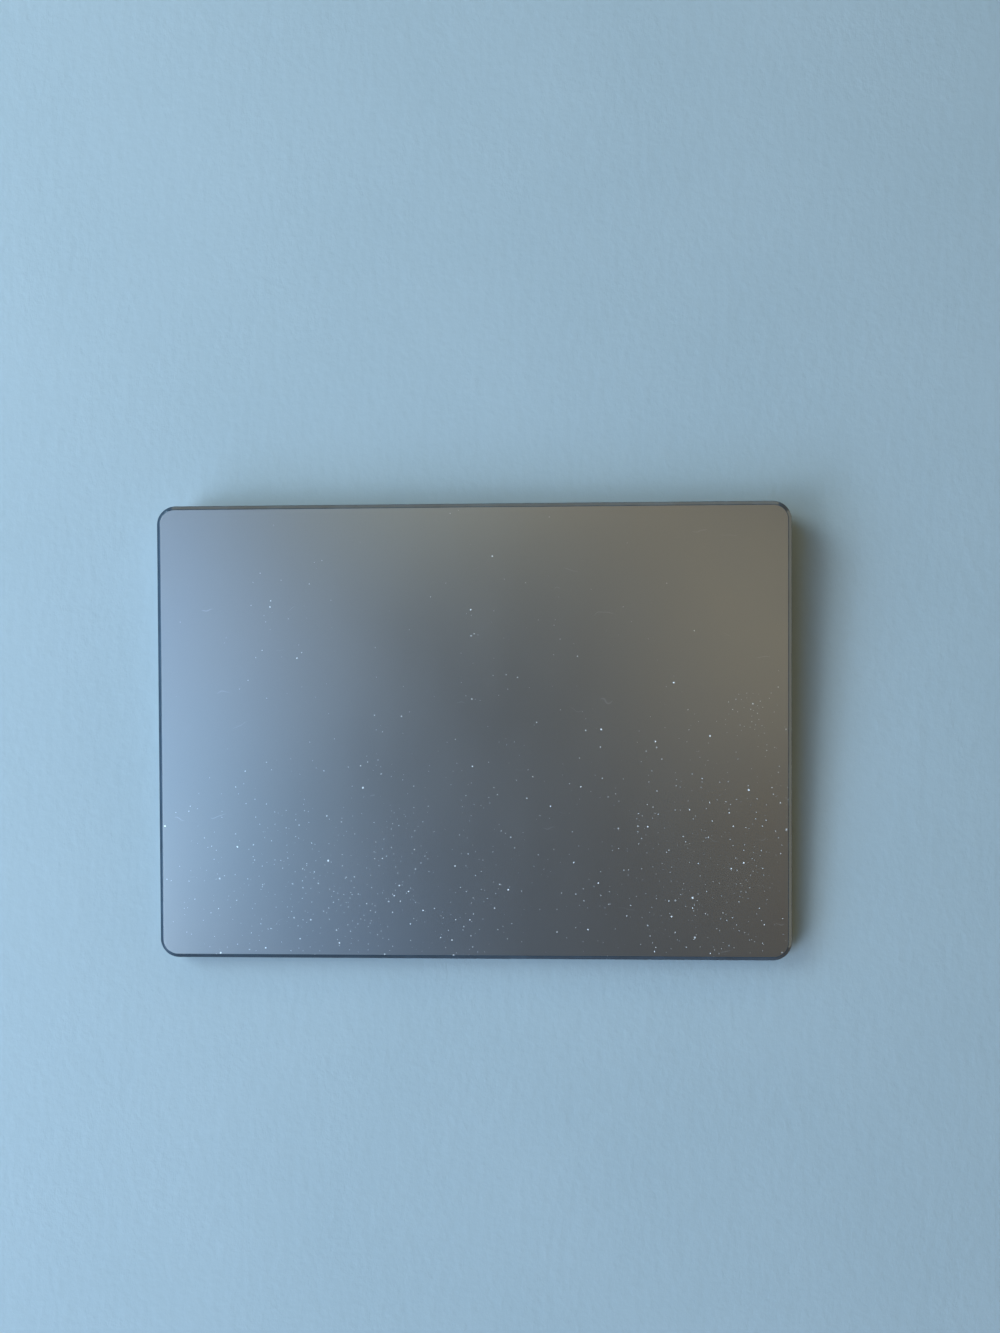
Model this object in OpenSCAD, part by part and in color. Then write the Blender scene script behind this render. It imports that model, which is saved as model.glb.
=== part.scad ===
// Wedge-shaped desk trackpad with an edge-to-edge glass touch deck.
// Frame: origin on the desk under the middle of the pad, X to the right,
// Y to the rear (the thick edge), Z up. Lengths are in millimetres.

/* [Overall size] */
// Width of the pad, left to right
pad_w = 160; // [158:0.5:168]
// Depth of the pad, front to rear
pad_d = 114.9; // [114.9:0.1:119]
// Height of the touch surface above the desk at the front edge
front_h = 4.9; // [4.9:0.05:5.3]
// Height of the touch surface above the desk at the rear edge
rear_h = 10.9; // [10.9:0.05:11.8]
// Corner radius in plan
corner_r = 4.8; // [4.2:0.1:5.4]

/* [Touch deck] */
// Thickness of the touch glass
glass_t = 1.0; // [0.9:0.05:1.0]
// Radius of the ground top edge of the glass
glass_edge = 0.55; // [0.3:0.05:0.7]
// Thickness of the adhesive film under the glass
bond_t = 0.1; // [0.05:0.05:0.1]
// Thickness of the touch sensor board
sensor_t = 0.6; // [0.5:0.05:0.6]
// Thickness of the steel stiffener plate
stiff_t = 0.5; // [0.4:0.05:0.5]

/* [Housing] */
// Thickness of the side walls
wall = 1.6; // [1.4:0.1:1.7]
// Thickness of the floor of the tub
floor_t = 0.7; // [0.6:0.05:0.7]
// Radius of the lower outer edge
edge_r = 2.0; // [1.2:0.1:2.2]
// Gap between the rim of the tub and the glass
rim_gap = 0.4; // [0.35:0.05:0.5]

/* [Bottom cover and feet] */
// Height of the feet below the cover
foot_h = 0.6; // [0.5:0.05:0.6]
// Thickness of the bottom cover
cover_t = 0.9; // [0.8:0.05:0.9]
// Width of the bare rim of the tub around the cover
cover_inset = 5.0; // [4.5:0.1:5.5]
// Radius of a foot
foot_r = 4.5; // [3.5:0.1:5]

/* [Suspension] */
// Thickness of the leaf springs
leaf_t = 0.3; // [0.2:0.05:0.3]
// Thickness of the gel pads
gel_t = 0.3; // [0.25:0.05:0.3]

/* [Charging port and power switch] */
// Height of the middle of the charging port above the desk
port_z = 5.2; // [5.2:0.1:5.6]
// Distance of the power switch from the middle of the rear wall
switch_x = 48; // [47.5:0.1:48.5]
// Travel of the power switch
switch_travel = 2.2; // [1.8:0.1:2.2]

/* [Hidden] */
$fn = 64;
tilt = atan((rear_h - front_h) / pad_d);
deck_len = pad_d / cos(tilt);
// levels below the touch surface, measured square to it
z_sensor = -(glass_t + bond_t);
z_stiff = z_sensor - sensor_t;
z_gel = z_stiff - stiff_t;
z_leaf = z_gel - gel_t;
z_boss = z_leaf - leaf_t;
z_rim = -(glass_t + rim_gap);
// levels above the desk
floor_z0 = foot_h + cover_t;
floor_z1 = floor_z0 + floor_t;
// places of the four leaf springs and the four feet
leaf_x = pad_w / 2 - 11;
gel_x = leaf_x - 17.5;
leaf_yd = [9, deck_len - 9];
foot_x = pad_w / 2 - 14;
foot_y = pad_d / 2 - 16.45;
rear_y = pad_d / 2;
// main board
pcb_x0 = 29; pcb_x1 = 73; pcb_y0 = 12; pcb_y1 = 43;
pcb_z0 = floor_z1 + 0.6; pcb_z1 = pcb_z0 + 0.8;
pcb_holes = [[37.3, 14.5], [69.5, 14.5], [69.5, 33], [53.5, 40.5]];
// haptic drive
hap_x = 35; hap_y = [-8.5, 6.5]; hap_plate = 0.4;
core_x = [-20, 0, 20];
core_z0 = floor_z1 + hap_plate; core_h = 1.9;
// charging port, measured forward from the rear wall
port_hole_x = 6.7; port_hole_y = rear_y - 5.45;
pport_z0 = port_z - 2.45; pport_z1 = port_z - 1.65;
// power switch
knob_w = 4.4; knob_x = switch_x - switch_travel / 2;
recess_w = knob_w + switch_travel + 0.8; recess_d = 0.75;
// the stem stands off the knob's middle, so that the knob hides its slot at on
stem_w = 0.9; stem_h = 0.7; stem_x = knob_x - 1.05;
slot_w = stem_w + switch_travel + 0.4; slot_h = 1.1; slot_x = stem_x + switch_travel / 2;

// ---------- shared shapes ----------

// frame of the touch surface: y runs from the front edge along the glass,
// z is 0 on the touch surface
module on_deck() translate([0, -pad_d / 2, front_h]) rotate([tilt, 0, 0]) children();

// everything above a level of the touch deck
module above_deck(zd)
  on_deck() translate([-pad_w, -pad_d, zd]) cube([2 * pad_w, 3 * pad_d, 60]);

// place on the desk plan of a point of the deck at level zd
function deck_y(yd, zd) = yd * cos(tilt) - zd * sin(tilt) - pad_d / 2;
function deck_z(yd, zd) = front_h + yd * sin(tilt) + zd * cos(tilt);

module rrect(w, d, r) {
  square([w - 2 * r, d], center = true);
  square([w, d - 2 * r], center = true);
  for (sx = [-1, 1], sy = [-1, 1])
    translate([sx * (w / 2 - r), sy * (d / 2 - r)]) circle(r);
}

// strip of a width along points in a plane, mitred at its bends
function seg_n(a, b) = let (d = b - a, l = norm(d)) [-d[1] / l, d[0] / l];
function strip(p, t) = let (n = len(p), m = [for (i = [0 : n - 1])
    i == 0 ? seg_n(p[0], p[1]) : i == n - 1 ? seg_n(p[n - 2], p[n - 1]) :
    let (s = seg_n(p[i - 1], p[i]) + seg_n(p[i], p[i + 1])) s * (2 / (s * s))])
  concat([for (i = [0 : n - 1]) p[i] + m[i] * t / 2],
         [for (i = [n - 1 : -1 : 0]) p[i] - m[i] * t / 2]);

// ribbon that bends in the Y-Z plane and runs from x0 to x1
module ribbon_yz(p, x0, x1, t = 0.12)
  translate([x0, 0, 0]) rotate([90, 0, 90]) linear_extrude(x1 - x0) polygon(strip(p, t));

// ribbon that lies flat on a level and follows a path in plan
module ribbon_flat(p, w, z, t = 0.12)
  translate([0, 0, z]) linear_extrude(t) polygon(strip(p, w));

// profile of a wall whose lower outer edge is rounded
module edge_profile(half, z0, z1, e) difference() {
  translate([0, z0]) square([half, z1 - z0]);
  translate([half - e, z0]) difference() {
    square([e + 1, e]);
    translate([0, e]) circle(e);
  }
}

// rounded slab with a rounded lower edge
module slab(w, d, r, z0, z1, e) {
  x = w / 2 - r; y = d / 2 - r;
  for (sx = [0, 1], sy = [0, 1]) mirror([sx, 0, 0]) mirror([0, sy, 0])
    translate([x, y, 0]) rotate_extrude(angle = 90) edge_profile(r, z0, z1, e);
  for (s = [0, 1]) mirror([s, 0, 0])
    translate([x, y, 0]) rotate([90, 0, 0]) linear_extrude(2 * y) edge_profile(r, z0, z1, e);
  for (s = [0, 1]) mirror([0, s, 0])
    translate([-x, y, 0]) rotate([90, 0, 90]) linear_extrude(2 * x) edge_profile(r, z0, z1, e);
  translate([-x, -y, z0]) cube([2 * x, 2 * y, z1 - z0]);
}

// small flat-headed screw, head above z = 0 and shank below, with a six-sided recess
module screw(head_r, head_h, shank_r, shank_l) difference() {
  union() {
    cylinder(r = head_r, h = head_h);
    translate([0, 0, -shank_l]) cylinder(r = shank_r, h = shank_l + 0.05);
  }
  translate([0, 0, head_h - 0.25]) cylinder(r = head_r * 0.45, h = 1, $fn = 6);
}

// the four corner places of the leaf springs: children see +x outward
module at_leaves() for (s = [0, 1], yd = leaf_yd)
  mirror([s, 0, 0]) on_deck() translate([0, yd, 0]) children();

module at_feet() for (sx = [-1, 1], sy = [-1, 1])
  translate([sx * foot_x, sy * foot_y, 0]) children();

module block(x0, x1, y0, y1, z0, z1)
  translate([x0, y0, z0]) cube([x1 - x0, y1 - y0, z1 - z0]);

// pill-shaped outline on the rear wall, extruded from y0 to y1
module rear_pill(x, z, w, h, y0, y1)
  translate([x, y1, z]) rotate([90, 0, 0]) linear_extrude(y1 - y0) rrect(w, h, h / 2 - 0.02);

// ---------- touch deck ----------

module touch_glass() color("#5f6468")
  on_deck() translate([0, deck_len / 2, 0]) mirror([0, 0, 1])
    slab(pad_w - 0.2, deck_len - 0.2, corner_r - 0.05, 0, glass_t, glass_edge);

module glass_bond_film() color("#d8d8d0")
  on_deck() translate([0, deck_len / 2, z_sensor]) linear_extrude(bond_t)
    rrect(pad_w - 4, deck_len - 4, corner_r - 1.9);

module touch_sensor_board() color("#1f4a36")
  on_deck() translate([0, deck_len / 2, z_stiff]) linear_extrude(sensor_t)
    rrect(pad_w - 5.2, deck_len - 5.2, corner_r - 2.2);

// controller chips in a window of the stiffener
module sensor_chips() color("#222222") on_deck() {
  for (x = [-11, 11]) translate([x - 4, 26, z_stiff - 0.8]) cube([8, 8, 0.8]);
  for (x = [-2.5, 0.5], y = [26.5, 30.5]) translate([x, y, z_stiff - 0.5]) cube([2, 3, 0.5]);
}

// connector whose mouth leaves the ribbon play for the moves of the deck
module touch_connector() color("#e8e2d0") on_deck() difference() {
  translate([47, 59.5, z_stiff - 0.8]) cube([10, 3, 0.8]);
  translate([47.6, 61.4, z_stiff - 0.68]) cube([8.8, 2, 0.54]);
}

module deck_stiffener() color("#9a9da0") on_deck() translate([0, 0, z_gel]) linear_extrude(stiff_t)
  difference() {
    translate([0, deck_len / 2]) rrect(pad_w - 12, deck_len - 10, 3);
    // chip and connector windows
    translate([0, 30]) rrect(36, 12, 1);
    translate([52, 61]) rrect(13, 6.4, 1);
    // lightening windows
    for (s = [-1, 1]) {
      translate([s * 45, 30]) rrect(34, 14, 3);
      translate([s * 32, 82]) rrect(44, 22, 3);
    }
  }

// steel angle that the coils draw to the rear
module haptic_armature() color("#8d9093") on_deck() {
  difference() {
    translate([-31, 46.5, z_gel - 0.4]) cube([62, 7.4, 0.4]);
    for (x = [-28, 0, 28]) translate([x, 48.5, z_gel - 1]) cylinder(r = 0.8, h = 2);
  }
  translate([-30, 51.6, z_gel - 2.3]) cube([60, 2.3, 2]);
}

// ---------- suspension ----------

module gel_pads() color("#b9c7cc") at_leaves()
  translate([gel_x, 0, z_leaf]) cylinder(r = 3.6, h = gel_t);

module leaf_plan() difference() {
  union() {
    translate([leaf_x, 0]) rrect(13, 9, 1.5);
    translate([gel_x, 0]) rrect(10, 9, 1.5);
    translate([leaf_x - 14, -2.4]) square([10, 4.8]);
  }
  for (dx = [-3.3, 3.3]) translate([leaf_x + dx, 0]) circle(0.83);
}

module leaf_springs() color("#b5b8ba") at_leaves()
  translate([0, 0, z_boss]) linear_extrude(leaf_t) leaf_plan();

module strain_gauges() color("#c8862f") at_leaves()
  translate([leaf_x - 11.5, -1.7, z_boss - 0.08]) cube([4, 3.4, 0.08]);

module leaf_screws() color("#6c6f72") at_leaves()
  for (dx = [-3.3, 3.3]) translate([leaf_x + dx, 0, z_boss - 0.55]) mirror([0, 0, 1])
    screw(1.35, 0.45, 0.8, 0.55 + leaf_t);

// ribbons of the strain gauges, on the floor of the tub
module gauge_flexes() color("#b4762a") {
  fy = deck_y(leaf_yd[0], z_boss); ry = deck_y(leaf_yd[1], z_boss);
  rz = deck_z(leaf_yd[1], z_boss);
  // front pair: two tails that meet beside the main board
  difference() {
    union() {
      ribbon_flat([[leaf_x - 8, fy], [42.25, fy], [42.25, 10.5]], 2.5, floor_z1);
      ribbon_flat([[-(leaf_x - 8), fy], [-42.25, fy], [-42.25, 10.5], [41.5, 10.5]], 1.7, floor_z1);
    }
    block(40, 44, 10.3, 12, 0, 10);
  }
  ribbon_yz([[10.3, floor_z1 + 0.06], [10.6, floor_z1 + 0.06], [11.4, pcb_z0 + 0.4], [12.2, pcb_z1 + 0.4], [12.98, pcb_z1 + 0.4]], 41, 43.5);
  // rear right tail
  ribbon_flat([[leaf_x - 6.8, ry], [59.1, ry], [59.1, 45]], 2.4, floor_z1);
  ribbon_yz([[45, floor_z1 + 0.06], [44.6, floor_z1 + 0.06], [43.6, pcb_z0 + 0.4], [42.8, pcb_z1 + 0.4], [42.02, pcb_z1 + 0.4]], 57.9, 60.3);
  // rear left tail
  ribbon_flat([[-(leaf_x - 6.8), ry], [-59.1, ry], [-59.1, 45.9], [40, 45.9], [40, 45]], 1.8, floor_z1);
  ribbon_yz([[45, floor_z1 + 0.06], [44.6, floor_z1 + 0.06], [43.6, pcb_z0 + 0.4], [42.8, pcb_z1 + 0.4], [42.02, pcb_z1 + 0.4]], 39.1, 40.9);
  // risers up the inner faces of the rear bosses
  for (s = [-1, 1]) translate([s * (leaf_x - 6.8) - 0.06, ry - 0.9, floor_z1])
    cube([0.12, 1.8, rz - floor_z1 - 0.35]);
}

// ---------- housing ----------

// a boss that stands on the floor of the tub
module boss(x, y, r, top) translate([x, y, floor_z1 - 0.3]) cylinder(r = r, h = top - floor_z1 + 0.3);

module housing() color("#6d7073") difference() {
  union() {
    difference() {
      slab(pad_w, pad_d, corner_r, foot_h, rear_h + 1, edge_r);
      above_deck(z_rim);
      // inside of the tub
      translate([0, 0, floor_z1]) linear_extrude(20)
        rrect(pad_w - 2 * wall, pad_d - 2 * wall, corner_r - wall);
      // recess of the bottom cover
      translate([0, 0, foot_h - 1]) linear_extrude(cover_t + 1)
        rrect(pad_w - 2 * cover_inset + 0.3, pad_d - 2 * cover_inset + 0.3, 3.15);
    }
    // blocks under the leaf springs
    difference() {
      for (sx = [-1, 1], yd = leaf_yd)
        translate([sx * leaf_x - 6.5, deck_y(yd, z_boss) - 4.6, floor_z1 - 0.3])
          cube([13, 9.2, 20]);
      above_deck(z_boss);
    }
    at_feet() boss(0, 0, 2, floor_z1 + 0.4);
    for (p = pcb_holes) boss(p[0], p[1], 1.8, pcb_z0);
    for (sx = [-1, 1]) boss(sx * port_hole_x, port_hole_y, 1.6, pport_z0);
  }
  // screws of the leaf springs, sunk from below
  at_leaves() for (dx = [-3.3, 3.3]) translate([leaf_x + dx, 0, 0]) {
    translate([0, 0, -12]) cylinder(r = 0.83, h = 12);
    translate([0, 0, z_boss - 20.55]) cylinder(r = 1.45, h = 20);
  }
  // screws of the cover
  at_feet() translate([0, 0, floor_z0 - 1]) cylinder(r = 0.83, h = 2.6);
  // screws of the main board, the haptic drive and the charging port
  for (p = pcb_holes) translate([p[0], p[1], floor_z1 - 0.3]) cylinder(r = 0.73, h = 3);
  for (sx = [-1, 1], y = hap_y) translate([sx * hap_x, y, floor_z0 - 1]) cylinder(r = 0.73, h = 3);
  for (sx = [-1, 1]) translate([sx * port_hole_x, port_hole_y, floor_z1 - 0.3]) cylinder(r = 0.73, h = 3);
  // radio window under the antenna
  translate([-34, rear_y - 7.2, floor_z0 - 1]) linear_extrude(3) rrect(21, 3.6, 1.2);
  // mouth of the charging port
  rear_pill(0, port_z, 9.3, 3.6, rear_y - 4, rear_y + 2);
  // recess and slot of the power switch, and its screws
  rear_pill(switch_x, port_z, recess_w, 3.2, rear_y - recess_d, rear_y + 2);
  rear_pill(slot_x, port_z, slot_w, slot_h, rear_y - 4, rear_y + 2);
  for (sx = [-1, 1]) translate([switch_x + sx * 6.2, rear_y - 0.5, port_z]) rotate([90, 0, 0])
    cylinder(r = 0.63, h = 3);
}

module bottom_cover() color("#3a3d40") difference() {
  translate([0, 0, foot_h]) linear_extrude(cover_t)
    rrect(pad_w - 2 * cover_inset, pad_d - 2 * cover_inset, 3);
  at_feet() {
    translate([0, 0, foot_h - 1]) cylinder(r = foot_r + 0.1, h = 1.3);
    translate([0, 0, foot_h - 1]) cylinder(r = 1.6, h = 1.7);
    translate([0, 0, foot_h - 1]) cylinder(r = 0.88, h = 4);
  }
}

module rubber_feet() color("#26282a") at_feet() rotate_extrude()
  polygon([[0, 0], [foot_r - 0.35, 0], [foot_r, 0.35], [foot_r, foot_h + 0.28], [0, foot_h + 0.28]]);

module cover_screws() color("#6c6f72") at_feet() translate([0, 0, foot_h + 0.7]) mirror([0, 0, 1])
  screw(1.5, 0.38, 0.8, 1.15);

// ---------- haptic drive ----------

module haptic_base() color("#aeb1b3") translate([0, 0, floor_z1]) linear_extrude(hap_plate)
  difference() {
    translate([0, -1]) rrect(76, 20, 2);
    for (x = core_x) translate([x, 0.8]) square([11.9, 6.4], center = true);
    for (sx = [-1, 1], y = hap_y) translate([sx * hap_x, y]) circle(0.75);
  }

// three-legged cores, poles towards the front
module haptic_cores() color("#3b3b40") for (x = core_x)
  translate([x, 0, core_z0]) linear_extrude(core_h) {
    translate([-8.5, 4.1]) square([17, 2.8]);
    for (dx = [-8.5, -2.5, 6]) translate([dx, -3]) square([dx == -2.5 ? 5 : 2.5, 7.2]);
  }

module haptic_coils() color("#b5652d") for (x = core_x)
  translate([x, 3.8, core_z0 + core_h / 2]) rotate([90, 0, 0]) linear_extrude(5.8) difference() {
    rrect(11.6, core_h + 0.7, 0.6);
    square([5.1, core_h + 0.1], center = true);
  }

module haptic_screws() color("#6c6f72") for (sx = [-1, 1], y = hap_y)
  translate([sx * hap_x, y, floor_z1 + hap_plate + 0.01]) screw(1.3, 0.45, 0.7, 1.0);

module haptic_flex() color("#b4762a") {
  block(-24, 33.8, 7.2, 8.7, core_z0, core_z0 + 0.12);
  ribbon_yz([[8.6, core_z0 + 0.06], [9.4, core_z0 + 0.06], [10.8, pcb_z0 + 0.5], [12.2, pcb_z1 + 0.45], [12.98, pcb_z1 + 0.45]], 30.4, 33.8);
}

// ---------- battery ----------

module battery_cells() color("#2b2d30") for (x = [-40.5, 4.5])
  translate([x, 43, floor_z1 + 0.1 + 1.7]) rotate([90, 0, 0]) linear_extrude(31) rrect(44, 3.4, 1.1);

module battery_adhesive() color("#d9d4c4") for (x = [-40.5, 4.5], dx = [-13, 13])
  block(x + dx - 4, x + dx + 4, 14, 41, floor_z1, floor_z1 + 0.1);

module battery_protection_board() color("#1f4a36") {
  block(-50, 3, 43.1, 43.6, floor_z1, floor_z1 + 3);
  for (x = [-44, -36, -28, -14, -6]) block(x, x + 3.4, 43.55, 44.1, floor_z1 + 0.8, floor_z1 + 2.4);
}

module battery_lead() color("#8c2f2a")
  translate([0, 0, pcb_z1 + 0.15]) linear_extrude(0.8)
    polygon(strip([[-1, 43.75], [3.4, 44.2], [31.5, 44.2], [31.5, 41.52]], 0.25));

// ---------- main board ----------

module logic_board() color("#1f4a36") translate([0, 0, pcb_z0]) linear_extrude(pcb_z1 - pcb_z0)
  difference() {
    translate([(pcb_x0 + pcb_x1) / 2, (pcb_y0 + pcb_y1) / 2]) rrect(pcb_x1 - pcb_x0, pcb_y1 - pcb_y0, 1.2);
    for (p = pcb_holes) translate(p) circle(0.78);
  }

module board_shield() color("#b9bcbe") difference() {
  block(33, 58, 18, 36, pcb_z1, pcb_z1 + 1.4);
  block(33.2, 57.8, 18.2, 35.8, pcb_z1 - 1, pcb_z1 + 1.2);
  for (x = [37, 45.5, 54], y = [22, 27, 32]) translate([x, y, pcb_z1 + 1]) cylinder(r = 0.6, h = 1);
}

module board_chips() color("#222222") {
  // under the shield
  block(36, 44, 21, 29, pcb_z1, pcb_z1 + 0.9);
  block(47, 53, 20, 26, pcb_z1, pcb_z1 + 0.9);
  block(47, 52, 29, 33, pcb_z1, pcb_z1 + 0.8);
  // outside it
  block(61, 66, 20, 25, pcb_z1, pcb_z1 + 1.0);
  block(61, 65, 28, 32, pcb_z1, pcb_z1 + 1.6);
  for (y = [18, 22.5, 27]) block(69.2, 71.2, y, y + 3, pcb_z1, pcb_z1 + 0.7);
}

module board_connectors() color("#e8e2d0") {
  // front edge: haptic drive, front gauges, touch deck
  for (p = [[30.2, 34.2], [40.4, 44], [47, 57]]) difference() {
    block(p[0], p[1], 13, 15.6, pcb_z1, pcb_z1 + 0.9);
    block(p[0] + 0.5, p[1] - 0.5, 14.2, 15.1, pcb_z1 + 0.7, pcb_z1 + 2);
  }
  // rear edge: charging port, rear gauges, power switch
  for (p = [[34.2, 37.6], [38.4, 41.6], [46.2, 49.6], [57.4, 60.8]]) difference() {
    block(p[0], p[1], 39.4, 42, pcb_z1, pcb_z1 + 0.9);
    block(p[0] + 0.5, p[1] - 0.5, 40, 40.9, pcb_z1 + 0.7, pcb_z1 + 2);
  }
  // battery socket and antenna jack
  block(29.8, 33.2, 38, 41.5, pcb_z1, pcb_z1 + 1.2);
  translate([43.9, 40.6, pcb_z1]) cylinder(r = 1.2, h = 0.45);
}

module board_screws() color("#6c6f72") for (p = pcb_holes)
  translate([p[0], p[1], pcb_z1 + 0.01]) screw(1.3, 0.45, 0.7, 1.6);

// ribbon that crosses from the deck to the main board
module touch_flex() color("#b4762a") {
  zr = z_stiff - 0.56;
  yc = deck_y(62.8, zr); zc = deck_z(62.8, zr);
  ribbon_yz([[deck_y(61.8, zr), deck_z(61.8, zr)], [yc, zc], [yc + 1.1, zc - 0.45], [yc + 4.5, pcb_z1 + 0.6], [12.98, pcb_z1 + 0.45]], 47.8, 56.2);
}

module antenna() color("#d8d4c8") difference() {
  translate([-34, rear_y - 7.2, floor_z1]) linear_extrude(0.6) rrect(25, 5.6, 1);
  for (x = [-43, -25]) translate([x, rear_y - 7.2, floor_z1 - 1]) cylinder(r = 0.6, h = 3);
}

// coaxial lead between the antenna and the main board: rings swept along its path
function unit(v) = v / norm(v);
function ring(p, t, r, n) = let (u = unit(cross(t, [0, 0, 1])), v = cross(u, t))
  [for (k = [0 : n - 1]) p + r * (cos(360 * k / n) * u + sin(360 * k / n) * v)];
module swept_tube(p, r, n = 8) {
  m = len(p);
  t = [for (i = [0 : m - 1]) unit(i == 0 ? p[1] - p[0] : i == m - 1 ? p[i] - p[i - 1] :
       unit(p[i] - p[i - 1]) + unit(p[i + 1] - p[i]))];
  polyhedron([for (i = [0 : m - 1]) each ring(p[i], t[i], r, n)],
    concat([[for (k = [0 : n - 1]) k]], [[for (k = [n - 1 : -1 : 0]) (m - 1) * n + k]],
      [for (i = [0 : m - 2], k = [0 : n - 1])
        let (a = i * n + k, b = i * n + (k + 1) % n) [a, a + n, b + n, b]]));
}

module antenna_lead() color("#1c1c1e") {
  z0 = floor_z1 + 0.55; z1 = pcb_z1 + 0.9; y0 = 46.1;
  swept_tube([[-21.3, rear_y - 7.2, z0], [-20.6, rear_y - 7.6, z0], [-20.2, rear_y - 8.3, z0],
    [-20.2, y0 + 1.6, z0], [-19.8, y0 + 0.5, z0], [-18.6, y0, z0],
    [42.4, y0, z0], [43.4, y0 - 0.3, z0 + 0.1], [43.9, y0 - 1, z0 + 0.5],
    [43.9, 44.2, z1 - 0.3], [43.9, 43.4, z1], [43.9, 40.8, z1]], 0.38);
}

// ---------- charging port ----------

module port_shell() color("#b7babd") difference() {
  rear_pill(0, port_z, 8.94, 3.26, rear_y - 7.55, rear_y - 0.2);
  rear_pill(0, port_z, 8.34, 2.66, rear_y - 8, rear_y + 1);
}

module port_body() color("#1a1a1c")
  rear_pill(0, port_z, 8.3, 2.62, rear_y - 7.5, rear_y - 6.1);

module port_tongue() color("#202022") difference() {
  block(-3.345, 3.345, rear_y - 6.1, rear_y - 1.65, port_z - 0.35, port_z + 0.35);
  for (s = [0, 1]) translate([0, rear_y - 1.65, port_z]) mirror([0, 0, s])
    translate([-5, -0.3, 0.35]) rotate([-30, 0, 0]) cube([10, 1, 1]);
}

module port_contacts() color("#c9a24a") for (s = [-1, 1], i = [0 : 11])
  translate([-2.75 + i * 0.5 - 0.13, rear_y - 5.8, port_z + (s > 0 ? 0.35 : -0.39)]) cube([0.26, 3.4, 0.04]);

module port_board() color("#1f4a36") translate([0, 0, pport_z0]) linear_extrude(pport_z1 - pport_z0)
  difference() {
    translate([0, rear_y - 6.25]) rrect(16.4, 8.8, 0.8);
    for (sx = [-1, 1]) translate([sx * port_hole_x, port_hole_y]) circle(0.78);
  }

module port_connector() color("#e8e2d0") difference() {
  block(4.6, 8, rear_y - 10.5, rear_y - 7.9, pport_z1, pport_z1 + 0.9);
  block(5.2, 6.2, rear_y - 10.1, rear_y - 8.3, pport_z1 + 0.7, pport_z1 + 2);
}

// saddle over the port
module port_bracket() color("#a5a8aa") difference() {
  union() {
    for (sx = [0, 1]) mirror([sx, 0, 0]) {
      block(4.55, 8.2, port_hole_y - 1.5, port_hole_y + 1.5, pport_z1, pport_z1 + 0.3);
      block(4.55, 4.85, port_hole_y - 1.5, port_hole_y + 1.5, pport_z1, port_z + 1.98);
    }
    block(-4.85, 4.85, port_hole_y - 1.5, port_hole_y + 1.5, port_z + 1.68, port_z + 1.98);
  }
  for (sx = [-1, 1]) translate([sx * port_hole_x, port_hole_y, 0]) cylinder(r = 0.78, h = 8);
}

module port_screws() color("#6c6f72") for (sx = [-1, 1])
  translate([sx * port_hole_x, port_hole_y, pport_z1 + 0.31]) screw(1.25, 0.45, 0.7, 1.5);

module port_flex() color("#b4762a")
  ribbon_flat([[8.02, rear_y - 9.2], [35.9, rear_y - 9.2], [35.9, 42.02]], 2.4, pcb_z1 + 0.3);

// ---------- power switch ----------

// knob with finger grooves, and the stem that reaches the slide switch
module switch_knob() color("#7a7d80") {
  difference() {
    rear_pill(knob_x, port_z, knob_w, 2.5, rear_y - 0.55, rear_y - 0.1);
    for (dx = [-0.9, 0, 0.9]) translate([knob_x + dx, rear_y - 0.1, port_z - 2]) cylinder(r = 0.16, h = 4);
  }
  block(stem_x - stem_w / 2, stem_x + stem_w / 2, rear_y - 2.9, rear_y - 0.5, port_z - stem_h / 2, port_z + stem_h / 2);
}

// strip that shows when the knob stands at on, and lies under the knob at off
module switch_indicator() color("#2fae4e") difference() {
  intersection() {
    rear_pill(knob_x + switch_travel, port_z, knob_w - 0.3, 2.3, rear_y - recess_d, rear_y - recess_d + 0.08);
    block(switch_x + 0.2, switch_x + 10, 0, 100, 0, 10);
  }
  rear_pill(slot_x, port_z, slot_w + 0.2, slot_h + 0.2, rear_y - 4, rear_y + 2);
}

module switch_frame() color("#b7babd") difference() {
  union() {
    block(switch_x - 7.8, switch_x + 7.8, rear_y - 1.95, rear_y - 1.65, port_z - 1.5, port_z + 1.5);
    block(switch_x - 4.4, switch_x + 4.4, rear_y - 5.3, rear_y - 1.65, port_z - 1.7, port_z + 1.7);
  }
  block(switch_x - 4.1, switch_x + 4.1, rear_y - 6, rear_y - 1.95, port_z - 1.4, port_z + 1.4);
  rear_pill(slot_x, port_z, slot_w + 0.2, slot_h + 0.2, rear_y - 4, rear_y);
  for (sx = [-1, 1]) translate([switch_x + sx * 6.2, rear_y, port_z]) rotate([90, 0, 0]) cylinder(r = 0.65, h = 4);
}

module switch_wafer() color("#5b3a24") {
  block(switch_x - 4.05, switch_x + 4.05, rear_y - 5.25, rear_y - 3.2, port_z - 1.35, port_z + 1.35);
  for (dx = [-2.4, 0, 2.4]) block(switch_x + dx - 0.3, switch_x + dx + 0.3, rear_y - 5.7, rear_y - 5.2, port_z - 0.9, port_z - 0.6);
}

module switch_screws() color("#6c6f72") for (sx = [-1, 1])
  translate([switch_x + sx * 6.2, rear_y - 1.96, port_z]) rotate([90, 0, 0])
    screw(1.15, 0.4, 0.6, 1.4);

module switch_flex() color("#b4762a")
  ribbon_yz([[rear_y - 5.78, port_z - 0.75], [rear_y - 7.2, port_z - 0.75], [43.6, pcb_z1 + 0.45], [42.02, pcb_z1 + 0.45]], switch_x - 1.5, switch_x + 1.3);

// ---------- drawing ----------

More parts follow.
